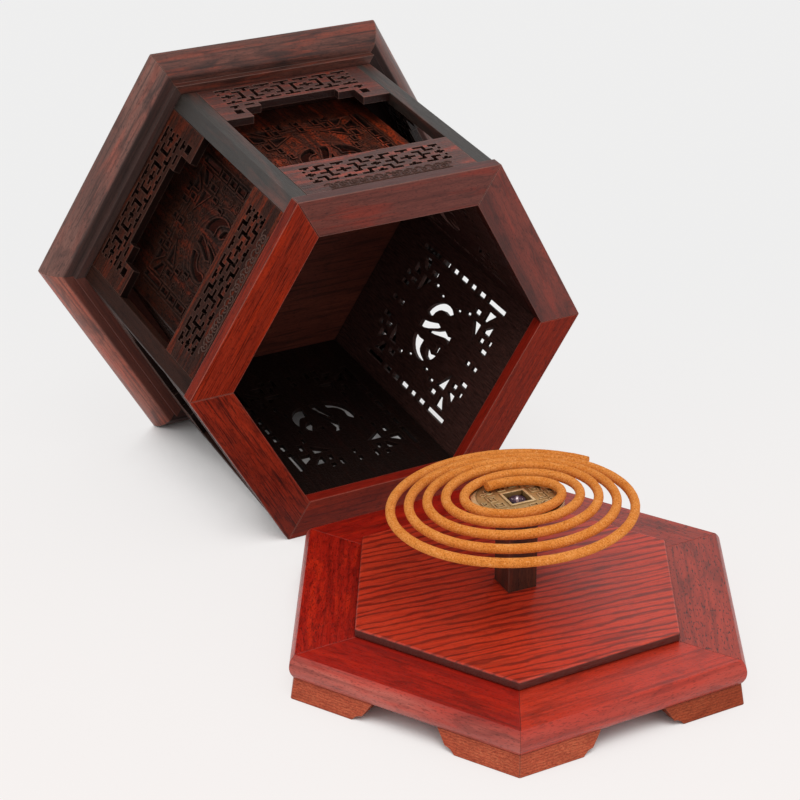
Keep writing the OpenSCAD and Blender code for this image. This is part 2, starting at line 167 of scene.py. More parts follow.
def seen_directly(tree):
    ray = add(tree, "ShaderNodeLightPath").outputs
    seen = add(tree, "ShaderNodeMath", {
        0: ray["Is Camera Ray"], 1: ray["Is Glossy Ray"]}, operation="MAXIMUM").outputs[0]
    return add(tree, "ShaderNodeMath", {
        0: seen, 1: ray["Is Transmission Ray"]}, operation="MAXIMUM").outputs[0]


bpy.context.scene.view_settings.view_transform = "Standard"
bpy.ops.object.select_all(action="DESELECT")
bpy.ops.mesh.primitive_plane_add(size=PAPER_SIZE, location=(0, 0, 0))
floor = bpy.context.active_object
floor.name = "floor"
paper, tree = new_material("white_paper")
place = add(tree, "ShaderNodeTexCoord").outputs["Object"]
spot = add(tree, "ShaderNodeSeparateXYZ", {0: place}).outputs
# The glow is brighter and warmer towards the front: a painted fall of light on the paper
nearness = add(tree, "ShaderNodeMapRange", {
    "Value": spot[1], "From Min": PAPER_FAR, "From Max": PAPER_NEAR}, interpolation_type="SMOOTHSTEP").outputs[0]
tone = add(tree, "ShaderNodeMix", {
    0: nearness, 6: colour("#EEEEEE"), 7: colour("#F8F3F1")}, data_type="RGBA").outputs[2]
sheet = add(tree, "ShaderNodeBsdfDiffuse", {"Color": colour("#F1EFEE")}).outputs[0]
glow = add(tree, "ShaderNodeEmission", {"Color": tone}).outputs[0]
openness = add(tree, "ShaderNodeAmbientOcclusion", {"Distance": COVER_REACH}, samples=8).outputs["AO"]
lit = add(tree, "ShaderNodeMapRange", {
    "Value": openness, "From Min": COVERED, "From Max": OPEN, "To Min": 0.0, "To Max": GLOW_SHARE}).outputs[0]
share = add(tree, "ShaderNodeMath", {0: seen_directly(tree), 1: lit}, operation="MULTIPLY").outputs[0]
both = add(tree, "ShaderNodeMixShader", {0: share, 1: sheet, 2: glow}).outputs[0]
add(tree, "ShaderNodeOutputMaterial", {"Surface": both})
floor.data.materials.append(paper)
print("the paper is", PAPER_SIZE, "m wide and glows by", GLOW_SHARE)

# %% [markdown]
# The sky lights the box and shows as a pale backdrop, and one broad lamp from the upper right gives a little
# direction. The levels add up to about 1, so a colour renders about as it is written.

# %% Sky and lamp
SKY_LIGHT, SKY_LOOK, LAMP_LIGHT, LAMP_WIDE = 0.74, 1.0, 0.95, radians(30)
LAMP_FROM = Vector((0.12, -0.42, 1.0))
world = bpy.data.worlds.new("soft_white_sky")
bpy.context.scene.world = world
world.use_nodes = True
sky = world.node_tree
sky.nodes.clear()
light = add(sky, "ShaderNodeBackground", {"Color": colour("#FFFFFF"), "Strength": SKY_LIGHT}).outputs[0]
backdrop = add(sky, "ShaderNodeBackground", {"Color": colour("#F2F1F1"), "Strength": SKY_LOOK}).outputs[0]
both = add(sky, "ShaderNodeMixShader", {0: seen_directly(sky), 1: light, 2: backdrop}).outputs[0]
add(sky, "ShaderNodeOutputWorld", {"Surface": both})

lamp_data = bpy.data.lights.new("broad_lamp", "SUN")
lamp_data.energy, lamp_data.angle = LAMP_LIGHT, LAMP_WIDE
lamp = bpy.data.objects.new("broad_lamp", lamp_data)
bpy.context.scene.collection.objects.link(lamp)
lamp.rotation_euler = LAMP_FROM.to_track_quat("Z", "Y").to_euler()
print("sky", SKY_LIGHT, "lamp", LAMP_LIGHT)

# %% [markdown]
# Rosewood is dense, oily and close-grained. It is planed, scraped and waxed rather than lacquered, so it has a
# soft gloss that picks up the white room at low angles. A picture of wood could be wrapped round each board, but
# it would stretch at the ends. Noise that fills space is cut by a board as a saw cuts a plank, so face and end
# belong together. Each thing that makes the look has a real size: fibres 0.4 mm wide, pores like pencil strokes
# 1 to 2 mm long, growth lines 1 to 3 mm apart, red embers 3 mm and dark smears 5 mm wide, cloudy patches of 14 mm
# and large shades of 24 mm. All but the growth lines are noise, stretched along the grain. The growth lines are a
# wave pattern with a little wander. On the carved boards, a punched ground of 0.75 mm dimples is added.

# %% What the figure is made of
# Each layer: squeeze along the grain, size across it in mm, detail, roughness, wander
LAYERS = {
    "fibre": (0.08, 0.42, 3, 0.65, 0.0),
    "pore": (0.28, 0.36, 1, 0.5, 0.0),
    "smear": (0.30, 5.0, 3, 0.6, 0.6),
    "ember": (0.14, 3.2, 3, 0.55, 0.4),
    "streak": (0.03, 1.3, 2, 0.55, 0.3),
    "cloud": (0.40, 14.0, 2, 0.5, 0.0),
    "shade": (0.22, 24.0, 2, 0.5, 0.4),
    "punch": (1.0, 0.75, 2, 0.6, 0.0),
}
LINE_SQUEEZE = 0.22
# Where in its noise each layer starts to show, and where it shows most
SHOWS = {
    "fibre": (0.30, 0.70), "pore": (0.57, 0.68), "line": (0.58, 0.98), "streak": (0.50, 0.64),
    "punch": (0.50, 0.62), "cloud": (0.35, 0.65), "shade": (0.48, 0.64), "smear": (0.50, 0.70),
    "ember": (0.50, 0.66),
}
# How a plain board looks: first how strongly each layer shows, then its sides, its wear and its wax.
# A side takes its own tone, by the share cut, as it turns away from the face between the two values of turn.
PLAIN = dict(
    fibre=1.0, pore=0.5, line=0.0, line_mm=3.3, streak=0.3, smear=0.35, ember=0.0, punch=0.0, cloud=0.5,
    shade=0.25, cut=0.45, turn=(0.55, 0.15), side_tone=None, side_figured=False, deep=None, dust_and_shade=0.4,
    worn=0.35, gloss=0.34, shine=0.5, bump=0.5)
print(len(SHOWS), "layers make the figure")


# %% The figure of a board
def figure(tree, board, look):
    value = {}
    for layer, (squeeze, size, detail, rough, wander) in LAYERS.items():
        size = look.get(f"{layer}_mm", size)
        squeezed = add(tree, "ShaderNodeVectorMath", {
            0: board, 1: (squeeze / size, 1 / size, 1 / size)}, operation="MULTIPLY").outputs[0]
        value[layer] = add(tree, "ShaderNodeTexNoise", {
            "Vector": squeezed, "Scale": 1.0, "Detail": detail, "Roughness": rough,
            "Distortion": wander}).outputs[0]
    # A wave repeats every 0.314 / scale, so this scale gives the growth lines their spacing
    drawn_out = add(tree, "ShaderNodeVectorMath", {
        0: board, 1: (LINE_SQUEEZE, 1.0, 1.0)}, operation="MULTIPLY").outputs[0]
    value["line"] = add(tree, "ShaderNodeTexWave", {
        "Vector": drawn_out, "Scale": 0.314 / look["line_mm"], "Distortion": 6.0, "Detail": 3.0,
        "Detail Scale": 1.7, "Detail Roughness": 0.65}, bands_direction="Y").outputs["Fac"]
    shown = {}
    for layer, (low, high) in SHOWS.items():
        shown[layer] = add(tree, "ShaderNodeMapRange", {
            "Value": value[layer], "From Min": low, "From Max": high, "To Min": 0.0,
            "To Max": look[layer]}).outputs[0]
    return value["fibre"], shown


print("they are cut from", len(LAYERS), "noises and one wave")

# %% [markdown]
# Wear and painted light follow the shape. Edges turn paler, as rubbed wear and as a painted highlight, and a Bevel
# node finds them: it gives the normal that a rounded edge would have. Corners and hollows turn darker, as dust and
# old wax and as painted shade, and an Ambient Occlusion node finds those. A side that faces away from a board's
# own
# face takes its own tone: end grain on some boards, a painted sheen on the base's rounded rails, and painted light
# and shade on the panels' inner faces and the walls of their openings. A band up to a level is painted dark: a
# shadow on the top panel and shade in the cornice's neck. All of this could be painted by hand, but nodes do it
# alike on every board.

# %% Wear, painted light and shade, sides and shaded bands
EDGE_MM, CORNER_MM = 0.45, 1.0
# Paler edge tone: rubbed wear and a painted highlight
RUBBED_AND_LIT = "#C8A090"


# Edges turn paler: rubbed wear and a painted highlight
def worn_and_lit_edge(tree, look):
    rounded = add(tree, "ShaderNodeBevel", {"Radius": EDGE_MM * MM}, samples=4).outputs[0]
    flat = add(tree, "ShaderNodeNewGeometry").outputs["Normal"]
    agree = add(tree, "ShaderNodeVectorMath", {0: rounded, 1: flat}, operation="DOT_PRODUCT").outputs["Value"]
    return add(tree, "ShaderNodeMapRange", {
        "Value": agree, "From Min": 0.995, "From Max": 0.90, "To Min": 0.0, "To Max": look["worn"]}).outputs[0]


# Corners and hollows turn darker: dust and old wax, and painted shade
def dust_and_shade_in_corners(tree, look):
    open_air = add(tree, "ShaderNodeAmbientOcclusion", {"Distance": CORNER_MM * MM}, samples=4).outputs["AO"]
    return add(tree, "ShaderNodeMapRange", {
        "Value": open_air, "From Min": 0.95, "From Max": 0.50, "To Min": 0.0,
        "To Max": look["dust_and_shade"]}).outputs[0]


# A turned side's own tone: end grain on some boards, and painted sheen, light and shade on others
def turned_side(tree, place, out, look):
    facing = add(tree, "ShaderNodeVectorMath", {
        0: place["Normal"], 1: tuple(out)}, operation="DOT_PRODUCT").outputs["Value"]
    starts, full = look["turn"]
    return add(tree, "ShaderNodeMapRange", {
        "Value": facing, "From Min": starts, "From Max": full, "To Min": 0.0, "To Max": look["cut"]}).outputs[0]


# A band up to a level painted dark: shadow on the top panel, shade in the cornice's neck
def painted_shadow(tree, place, direction, full, none, most):
    level = add(tree, "ShaderNodeVectorMath", {
        0: place["Object"], 1: tuple(direction)}, operation="DOT_PRODUCT").outputs["Value"]
    return add(tree, "ShaderNodeMapRange", {
        "Value": level, "From Min": full, "From Max": none, "To Min": most, "To Max": 0.0}).outputs[0]


print("edges rub over", EDGE_MM, "mm and corners hold dust over", CORNER_MM, "mm")

# %% [markdown]
# The material is built up as a finisher would do it, in thin coats over the ground tone: each coat is one Mix node
# with its share and its colour. The fibres also change the gloss a little, and pores and dimples are real dents.

# %% Rosewood
# How far one step of slide moves a board along, across and into the plank, in mm, so that no two boards match
SLIDE_STEP = (37.0, 11.3, 5.7)
DENT_MM, PUNCH_DEPTH = 0.05, 5.0


def rosewood(name, along, out, tones, slide=0.0, **habit):
    look = {**PLAIN, **habit}
    material, tree = new_material(name)
    base, dark, pale, red = (colour(tone) for tone in tones)
    rubbed_and_lit = tuple((a + b) / 2 for a, b in zip(pale, colour(RUBBED_AND_LIT)))
    # Side tone: end grain on some boards, and painted sheen, light and shade on others
    side_grain_and_light = colour(look["side_tone"]) if look["side_tone"] else dark
    across = out.cross(along).normalized()
    lay = Matrix((along.normalized(), across, along.normalized().cross(across))).to_euler()
    place = add(tree, "ShaderNodeTexCoord").outputs
    board = add(tree, "ShaderNodeMapping", {
        "Vector": place["Object"], "Rotation": lay, "Scale": (1 / MM,) * 3,
        "Location": tuple(slide * step for step in SLIDE_STEP)}).outputs[0]
    fibre, shown = figure(tree, board, look)
    side = turned_side(tree, place, out, look)
    figured = [(shown["cloud"], base), (shown["ember"], red)]
    figured += [(shown[layer], dark) for layer in ("shade", "smear", "streak", "line", "pore", "punch")]
    if look["side_figured"]:
        coats = [(side, side_grain_and_light)] + figured
    else:
        speckled = add(tree, "ShaderNodeMath", {0: side, 1: shown["fibre"]}, operation="MULTIPLY").outputs[0]
        coats = figured + [(side, side_grain_and_light), (speckled, dark)]
    # Paler edges are rubbed wear and a painted highlight, darker corners are dust and painted shade
    worn = [(worn_and_lit_edge(tree, look), rubbed_and_lit), (dust_and_shade_in_corners(tree, look), dark)]
    coats = [(shown["fibre"], pale)] + coats + worn
    sheen = add(tree, "ShaderNodeMapRange", {
        "Value": fibre, "From Min": 0.3, "From Max": 0.7,
        "To Min": look["gloss"] - 0.05, "To Max": look["gloss"] + 0.12}).outputs[0]
    # A painted shadow band darkens the colour and roughens the wax, so it reflects less
    if look["deep"]:
        shadow_share = painted_shadow(tree, place, *look["deep"])
        coats.append((shadow_share, dark))
        sheen = add(tree, "ShaderNodeMath", {0: shadow_share, 1: sheen}, operation="MAXIMUM").outputs[0]
    mixed = base
    for share, tone in coats:
        mixed = add(tree, "ShaderNodeMix", {0: share, 6: mixed, 7: tone}, data_type="RGBA").outputs[2]
    grain = add(tree, "ShaderNodeMath", {
        0: shown["pore"], 1: -1.0, 2: shown["fibre"]}, operation="MULTIPLY_ADD").outputs[0]
    dented = add(tree, "ShaderNodeMath", {
        0: shown["punch"], 1: -PUNCH_DEPTH, 2: grain}, operation="MULTIPLY_ADD").outputs[0]
    relief = add(tree, "ShaderNodeBump", {
        "Strength": look["bump"], "Distance": DENT_MM * MM, "Height": dented}).outputs[0]
    skin = add(tree, "ShaderNodeBsdfPrincipled", {
        "Base Color": mixed, "Roughness": sheen, "Normal": relief, "IOR": 1.5,
        "Specular IOR Level": look["shine"]})
    add(tree, "ShaderNodeOutputMaterial", {"Surface": skin.outputs[0]})
    return material


def dress(node, material):
    nodes[node].data.materials.clear()
    nodes[node].data.materials.append(material)


print("a slide of 1 moves a board by", SLIDE_STEP, "mm in its plank")

# %% [markdown]
# The base is the reddest wood. Its three rails on the left are a deeper red than the front one, and the two at the
# back right have open pores and a mauve tone, a painted sheen. Each rail's rounded bead takes a paler tone, also a
# painted sheen. Rails run their grain along their own length, which is why the mitres show. The feet are a browner
# cut with level growth lines, so they need no direction of their own on each wing; the right-hand foot is a darker
# brown, painted shade. The raised board on top was chosen for its stripes, and its sides are dull end grain.

# %% Woods and habits of the base
# Each wood: its ground, its dark figure, its pale fibres and its red embers
DEEP_RED = ("#98180E", "#3E0806", "#B4200F", "#CC2C12")
RED = ("#B62A14", "#4A0F0B", "#C83A22", "#CE3218")
# A mauve tone on the back right rails: a painted sheen
SHEEN_RED = ("#9E2C1C", "#38110D", "#B04230", "#BC3A24")
BROWN = ("#B84E36", "#742E22", "#D07450", "#C45238")
# A darker brown for the right-hand foot: painted shade
SHADED_BROWN = ("#A04026", "#5E2416", "#B45E3C", "#AC482C")
STRIPED = ("#C22E18", "#58120C", "#D04222", "#CE3C1A")
EBONY = ("#3E1E15", "#170C0A", "#58301F", "#6E2C1A")
RAIL = dict(
    streak=0.35, streak_mm=1.6, smear=0.45, smear_mm=4.0, ember=0.40, pore=0.45, shade=0.15,
    cut=0.80, turn=(0.90, 0.40), side_figured=True, gloss=0.32, worn=0.05)
# The beads' paler side tones are a painted sheen
FRONT_RAIL = dict(RAIL, side_tone="#B44C40", shine=0.37)
BACK_RAIL = dict(FRONT_RAIL, pore=0.9, pore_mm=0.52)
LEFT_RAIL = dict(RAIL, side_tone="#C86C5E", shine=0.34)
MOTTLED_RAIL = dict(LEFT_RAIL, smear=0.55, smear_mm=1.3, ember=0.70, pore=0.6)
BASE_RAILS = {
    1: (SHEEN_RED, BACK_RAIL), 2: (SHEEN_RED, BACK_RAIL), 3: (DEEP_RED, LEFT_RAIL),
    4: (DEEP_RED, MOTTLED_RAIL), 5: (DEEP_RED, LEFT_RAIL), 6: (RED, FRONT_RAIL),
}
FOOT = dict(
    line=0.42, line_mm=0.9, streak=0.3, streak_mm=0.6, smear=0.3, pore=0.5, cut=0.3, gloss=0.45, shine=0.08)
print("the rails of the base are of", len({wood for wood, look in BASE_RAILS.values()}), "woods")

# %% Wood on the base
for side in SIDES:
    wood, look = BASE_RAILS[side]
    dress(f"base_rail_{side}", rosewood(
        f"waxed_red_rosewood_{side}", sideways(side), Z, wood, slide=side, **look))
    # A foot is a corner, so its directions lie half-way between two sides
    dress(f"foot_{side}", rosewood(
        f"brown_rosewood_{side}", sideways(side + 0.5), outward(side + 0.5),
        SHADED_BROWN if side == 6 else BROWN, slide=side + 7, **FOOT))
STRIPES_RUN = Vector((cos(radians(23)), sin(radians(23)), 0))
dress("platform", rosewood(
    "striped_rosewood", STRIPES_RUN, Z, STRIPED, slide=1.5, line=0.72, streak=0.35, streak_mm=0.9,
    smear=0.15, pore=0.3, ember=0.2, shade=0.0, cut=0.95, side_tone="#5A403A", gloss=0.33, shine=0.40, worn=1.0))
dress("base_board", rosewood("hidden_rosewood", sideways(1), Z, RED, slide=3))
dress("post", rosewood(
    "ebonised_post", Z, STRIPES_RUN, EBONY, slide=4, smear=0.7, ember=0.5, cut=0.0, gloss=0.40, shine=0.35))
print("the base has its wood")

# %% [markdown]
# The hood is a darker rosewood. Its mouth rails are nearly as red as the base, and each was cut from another part
# of the plank, so one is lined, one mottled and one nearly plain. The rail on top is browner, and the one at the
# upper right is mauve. The boards that face up or right look into the light and shine more than the others.

# %% Wood round the hood's mouth
MOUTH = ("#802213", "#290907", "#A0341C", "#B8320F")
MOUTH_BROWN = ("#632E27", "#2C1210", "#774036", "#8E2C1C")
MOUTH_MAUVE = ("#6C2A20", "#2A0F0C", "#883C2E", "#A23422")
LINED = dict(streak=0.65, streak_mm=0.42, smear=0.15, ember=0.35, shade=0.25, shine=0.06, cut=0.2)
RED_INSIDE = dict(cut=0.6, side_tone="#B4281A")
MOUTH_RAILS = {
    1: (MOUTH_MAUVE, dict(streak=0.2, smear=0.55, smear_mm=3.4, ember=0.35, shade=0.55, shine=0.42)),
    2: (MOUTH, dict(RED_INSIDE, streak=0.35, streak_mm=0.42, smear=0.3, smear_mm=2.0, ember=0.2, shade=0.2,
                    shine=0.10)),
    3: (MOUTH, dict(RED_INSIDE, streak=0.4, smear=0.3, smear_mm=2.4, ember=0.3, shade=0.3, shine=0.14)),
    4: (MOUTH, dict(LINED, streak=0.75, smear=0.55, smear_mm=2.0, ember=0.2, shade=0.35, shine=0.14)),
    5: (MOUTH, LINED),
    6: (MOUTH_BROWN, dict(streak=0.3, smear=0.35, smear_mm=2.2, ember=0.55, shade=0.25, shine=0.28)),
}
for side in SIDES:
    wood, look = MOUTH_RAILS[side]
    dress(f"mouth_rail_{side}", rosewood(
        f"mouth_rosewood_{side}", laid(sideways(side)), laid(-Z), wood, slide=side + 20,
        pore=0.45, gloss=0.38, worn=0.6, **look))
print("the mouth has", len(MOUTH_RAILS), "rails")

# %% [markdown]
# The posts are almost black, and the pierced boards lie between them and the mouth in tone. Frets and panels come
# in a lighter copy for the side that faces up and a darker one for the others, painted light and shade, and the
# posts beside the top are greyer, a painted sheen. The inner panels are stained dark, with a punched ground
# between the carving. The one that faces up is redder, painted light, with a painted shadow towards the cornice.
# On every panel the inner face and the walls of the openings are lighter on the two right-hand sides, painted
# light, and nearly black elsewhere, painted shade. The cornice is painted dark at its neck, as shade. Of its
# rails, the one at the lower left is redder, and the one at the upper left is paler, a painted sheen. The board
# that closes the hood is a plain brown one.

# %% Woods and habits of the hood
# Frets and panels: lighter copies for the top, darker ones for the rest, painted light and shade; greyer posts:
# painted sheen
POST_SHEEN = ("#25201C", "#110E0C", "#382E28", "#70382A")
POST_BROWN = ("#2E1C17", "#140C0A", "#3E241C", "#4E2418")
FRET_LIT = ("#4E2117", "#1E0C09", "#6A3124", "#A8381B")
FRET_SHADED = ("#331C16", "#140B09", "#4A2A20", "#8C3216")
PANEL_LIT = ("#4E2015", "#180B08", "#6C3018", "#B43E1A")
PANEL_SHADED = ("#341B14", "#130A08", "#4C2618", "#6E2816")
CORNICE = ("#522A20", "#1E0F0C", "#704034", "#8A3A26")
CORNICE_RED = ("#9E4E3A", "#482018", "#B0624C", "#BA5238")
# A paler cornice tone for the upper left: a painted sheen
CORNICE_SHEEN = ("#6E443A", "#24130F", "#885C50", "#944C3C")
CEILING = ("#5A281E", "#26100C", "#743A2A", "#6E3020")
FRET_SHINE = {1: 0.35, 2: 0.30, 3: 0.10, 4: 0.05, 5: 0.03, 6: 0.42}
CORNICE_SHINE = {1: 0.35, 2: 0.35, 3: 0.35, 4: 0.42, 5: 0.50, 6: 0.36}
CORNER_POST = dict(
    streak=0.4, streak_mm=0.7, smear=0.4, ember=0.7, ember_mm=9.0, bump=1.0, cut=0.0, gloss=0.42)
FRETS = dict(streak=0.5, streak_mm=0.7, punch=0.45, dust_and_shade=1.0, cut=0.85, gloss=0.42)
CARVED = dict(streak=0.4, smear=0.7, punch=0.8, dust_and_shade=0.9, cut=0.88, gloss=0.5, shine=0.08, worn=0.12, bump=1.0)
MOULDED = dict(ember=0.75, smear=0.7, streak=0.6, streak_mm=1.0, cut=0.0, gloss=0.34, worn=0.35)
# Painted shadow on the top panel towards the cornice, and painted shade in the cornice's neck
PANEL_SHADOW = (laid(Z), hood_level(84), hood_level(58))
NECK_SHADE = (laid(Z), hood_level(94.3), hood_level(94.9))
print("the frets shine from", min(FRET_SHINE.values()), "to", max(FRET_SHINE.values()))

# %% Wood on the hood's walls and top
for side in SIDES:
    run, face, top = laid(sideways(side)), laid(outward(side)), side == 6
    corner = laid(outward(side) + outward(side + 1)).normalized()
    # The posts on both sides of the top face the sky, and get a greyer tone, a painted sheen
    bright = side in (5, 6)
    dress(f"corner_post_{side}", rosewood(
        f"dark_post_rosewood_{side}", laid(Z), corner, POST_SHEEN if bright else POST_BROWN, slide=side + 30,
        shine=0.46 if bright else 0.03, **CORNER_POST))
    # The frets on top are the lighter copy and the rest the darker one: painted light and shade
    for row, named, slide, embers in (("lower_fret", "fret_rosewood", 40, (0.85, 0.6)),
                                      ("upper_fret", "upper_fret_rosewood", 50, (0.6, 0.3))):
        dress(f"{row}_{side}", rosewood(
            f"{named}_{side}", run, face, FRET_LIT if top else FRET_SHADED, slide=side + slide,
            ember=embers[0] if top else embers[1], shine=FRET_SHINE[side], worn=0.5 if top else 0.25, **FRETS))
    # The top panel is redder, painted light, with a painted shadow; inner faces are painted light on sides 1 and
    # 2, shade elsewhere
    dress(f"inner_panel_{side}", rosewood(
        f"stained_panel_{side}", laid(Z), face, PANEL_LIT if top else PANEL_SHADED, slide=side + 60,
        ember=0.7 if top else 0.8, side_tone="#573832" if side < 3 else "#221613",
        deep=(*PANEL_SHADOW, 0.5) if top else None, **CARVED))
    # The neck's dark band is painted shade, and the upper left rail's paler tone a painted sheen
    dress(f"cornice_rail_{side}", rosewood(
        f"cornice_rosewood_{side}", run, face, {4: CORNICE_RED, 5: CORNICE_SHEEN}.get(side, CORNICE),
        slide=side + 70.6, shade=0.25 if side == 4 else 0.6, shine=CORNICE_SHINE[side],
        deep=(*NECK_SHADE, 0.25 if top else 0.85), **MOULDED))
dress("top_panel", rosewood(
    "plain_brown_board", TIP_AXIS, laid(Z), CEILING, slide=5, streak=0.6, streak_mm=0.8, cut=0.0, gloss=0.5,
    shine=0.25))
print("the hood has its wood")

# %% [markdown]
# Nothing made of wood has a razor edge. The boards keep their meshes, and a stack of modifiers softens them: Weld
# joins the loose triangles, Decimate joins the triangles of each flat face, Bevel rounds what is left, and
# Weighted Normal keeps the flats flat. Mitred edges get only a hair, or the seams would open into grooves.

# %% Softened edges
WELD_GAP, FLAT_ANGLE, EDGE_ANGLE = 1e-6, 0.01, radians(35)
# How wide the rounding is on each kind of board, in mm
SOFT = {
    "base_rail": 0.12, "foot": 0.25, "base_board": 0.1, "platform": 0.6, "post": 0.35, "coin_plate": 0.12,
    "coin_screw": 0.08, "mouth_rail": 0.22, "corner_post": 0.30, "lower_fret": 0.12, "upper_fret": 0.12,
    "inner_panel": 0.10, "cornice_rail": 0.16, "top_panel": 0.1,
}
softened = 0
for name, board in nodes.items():
    kind = next((k for k in SOFT if name.startswith(k)), None)
    if kind is None:
        continue
    weld = board.modifiers.new("weld", "WELD")
    weld.merge_threshold = WELD_GAP
    flats = board.modifiers.new("flats", "DECIMATE")
    flats.decimate_type = "DISSOLVE"
    flats.angle_limit = FLAT_ANGLE
    round_over = board.modifiers.new("round_over", "BEVEL")
    round_over.width = SOFT[kind] * MM
    round_over.segments = 2
    round_over.limit_method = "ANGLE"
    round_over.angle_limit = EDGE_ANGLE
    board.modifiers.new("normals", "WEIGHTED_NORMAL")
    softened += 1
print("edges softened on", softened, "boards")

# %% [markdown]
# The inner panels are carved in low relief: a raised rim runs round every opening, rings and curled scrolls fill
# the ground between them, and a double line frames the whole. The rims come from the panel itself: a copy of its
# outer face is inset, and the narrow band this leaves along each opening is kept and thickened. The rings and
# scrolls are wires half sunk in the face, drawn in millimetres across and up from the middle of the pattern, and
# cut wherever the panel has an opening. One panel is made and turned round the hood's axis for the other five.

# %% A panel's place
# Distances from the hood's axis, and the height of the pattern's middle, in mm
PANEL_FACE, WALL_FACE, MOTIF_UP = 51.82, 63.22, 47.45


def on_side(across, up, face_at):
    return tipped @ ((outward(1) * face_at + sideways(1) * across + Z * up) * MM)


print("the pattern's middle on side 1 lies at", tuple(round(c, 4) for c in on_side(0, MOTIF_UP, PANEL_FACE)))


# %% Copies of panels and of pieces
def around(side):
    return tipped @ Matrix.Rotation(radians(60 * (side - 1)), 4, "Z") @ tipped.inverted()


def copied_round(first, name, woods):
    for side in (2, 3, 4, 5, 6, 1):
        piece = first
        if side != 1:
            pick(first)
            bpy.ops.object.duplicate()
            piece = bpy.context.active_object
            piece.matrix_world = around(side)
        piece.data.materials.clear()
        piece.data.materials.append(woods[side])
        finish(piece, f"{name}_{side}", "hood")


def welded_copy(node, name):
    copied = bpy.data.objects.new(name, nodes[node].data.copy())
    bpy.context.scene.collection.objects.link(copied)
    pick(copied)
    bpy.ops.object.mode_set(mode="EDIT")
    bpy.ops.mesh.select_mode(type="FACE")
    bpy.ops.mesh.select_all(action="SELECT")
    bpy.ops.mesh.remove_doubles(threshold=WELD_GAP)
    bpy.ops.mesh.select_all(action="DESELECT")
    bpy.ops.object.mode_set(mode="OBJECT")
    return copied


def cut_away(piece, unwanted):
    for face in piece.data.polygons:
        face.select = unwanted(face)
    bpy.ops.object.mode_set(mode="EDIT")
    bpy.ops.mesh.delete(type="FACE")
    bpy.ops.object.mode_set(mode="OBJECT")


print("a copy for side 4 is turned by", round(around(4).to_quaternion().angle / pi * 180), "degrees")

# %% Rims round the panel's openings
RIM_WIDE, RIM_HIGH, MOTIF_ACROSS, MOTIF_TALL = 0.5, 0.4, 27, 30
out, across, upward = laid(outward(1)), laid(sideways(1)), laid(Z)
middle = on_side(0, MOTIF_UP, PANEL_FACE)
rims = welded_copy("inner_panel_1", "panel_rims")
skin_level = max(corner.co.dot(out) for corner in rims.data.vertices)


def off_the_skin(face):
    return face.normal.dot(out) < 0.99 or abs(face.center.dot(out) - skin_level) > 0.05 * MM


def past_the_motif(face):
    off = face.center - middle
    return abs(off.dot(across)) > MOTIF_ACROSS * MM or abs(off.dot(upward)) > MOTIF_TALL * MM


cut_away(rims, off_the_skin)
bpy.ops.object.mode_set(mode="EDIT")
bpy.ops.mesh.select_all(action="SELECT")
bpy.ops.mesh.inset(thickness=RIM_WIDE * MM, use_boundary=True, use_even_offset=True)
bpy.ops.mesh.delete(type="FACE")
bpy.ops.object.mode_set(mode="OBJECT")
cut_away(rims, past_the_motif)
raised = rims.modifiers.new("raised", "SOLIDIFY")
raised.thickness, raised.offset = RIM_HIGH * MM, 1.0
pick(rims)
bpy.ops.object.modifier_apply(modifier="raised")
print("rims:", len(rims.data.polygons), "faces")

# %% [markdown]
# Every carved line is first a row of points in millimetres: an arc, a curl that opens as it turns, or a straight.
# A ray cast into a copy of the panel tells whether there is wood under a point and just around it, and only the
# runs of points with wood under them are kept. One function turns the runs to round wires of one thickness.

# %% Where there is wood
CLEAR, RAY_STARTS, RAY_LONG, SHORTEST_RUN = 0.75, 2, 2.6, 5
board = welded_copy("inner_panel_1", "board_to_test")
surface = BVHTree.FromPolygons(
    [corner.co for corner in board.data.vertices], [face.vertices for face in board.data.polygons])
bpy.data.objects.remove(board)


def is_wood(across_mm, up_mm):
    for du, dv in ((0, 0), (CLEAR, 0), (-CLEAR, 0), (0, CLEAR), (0, -CLEAR)):
        above = on_side(across_mm + du, MOTIF_UP + up_mm + dv, PANEL_FACE + RAY_STARTS)
        if surface.ray_cast(above, -out, RAY_LONG * MM)[0] is None:
            return False
    return True


def kept_runs(points, test):
    run = []
    for point in points:
        if test(*point):
            run.append(point)
        else:
            if len(run) >= SHORTEST_RUN:
                yield run
            run = []
    if len(run) >= SHORTEST_RUN:
        yield run


print("there is", "wood" if is_wood(19, 0) else "an opening", "19 mm beside the pattern's middle")

# %% Lines in millimetres
CURL_STEPS, CURL_EYE = 28, 0.14


def arc(radius, start, end, step=0.5, at=(0, 0)):
    count = max(8, round(radians(abs(end - start)) * radius / step))
    angles = [radians(start + (end - start) * k / count) for k in range(count + 1)]
    return [(at[0] + radius * cos(angle), at[1] + radius * sin(angle)) for angle in angles]


def curl(at, size, start, turns=1.6, hand=1):
    points = []
    for k in range(CURL_STEPS + 1):
        radius = size * (CURL_EYE + (1 - CURL_EYE) * k / CURL_STEPS)
        angle = radians(start) + hand * turns * 2 * pi * k / CURL_STEPS
        points.append((at[0] + radius * cos(angle), at[1] + radius * sin(angle)))
    return points


def straight(a, b, step=0.6):
    count = max(6, round(((a[0] - b[0]) ** 2 + (a[1] - b[1]) ** 2) ** 0.5 / step))
    return [(a[0] + (b[0] - a[0]) * k / count, a[1] + (b[1] - a[1]) * k / count) for k in range(count + 1)]


print("a ring 25 mm wide has", len(arc(12.5, 0, 360)), "points")


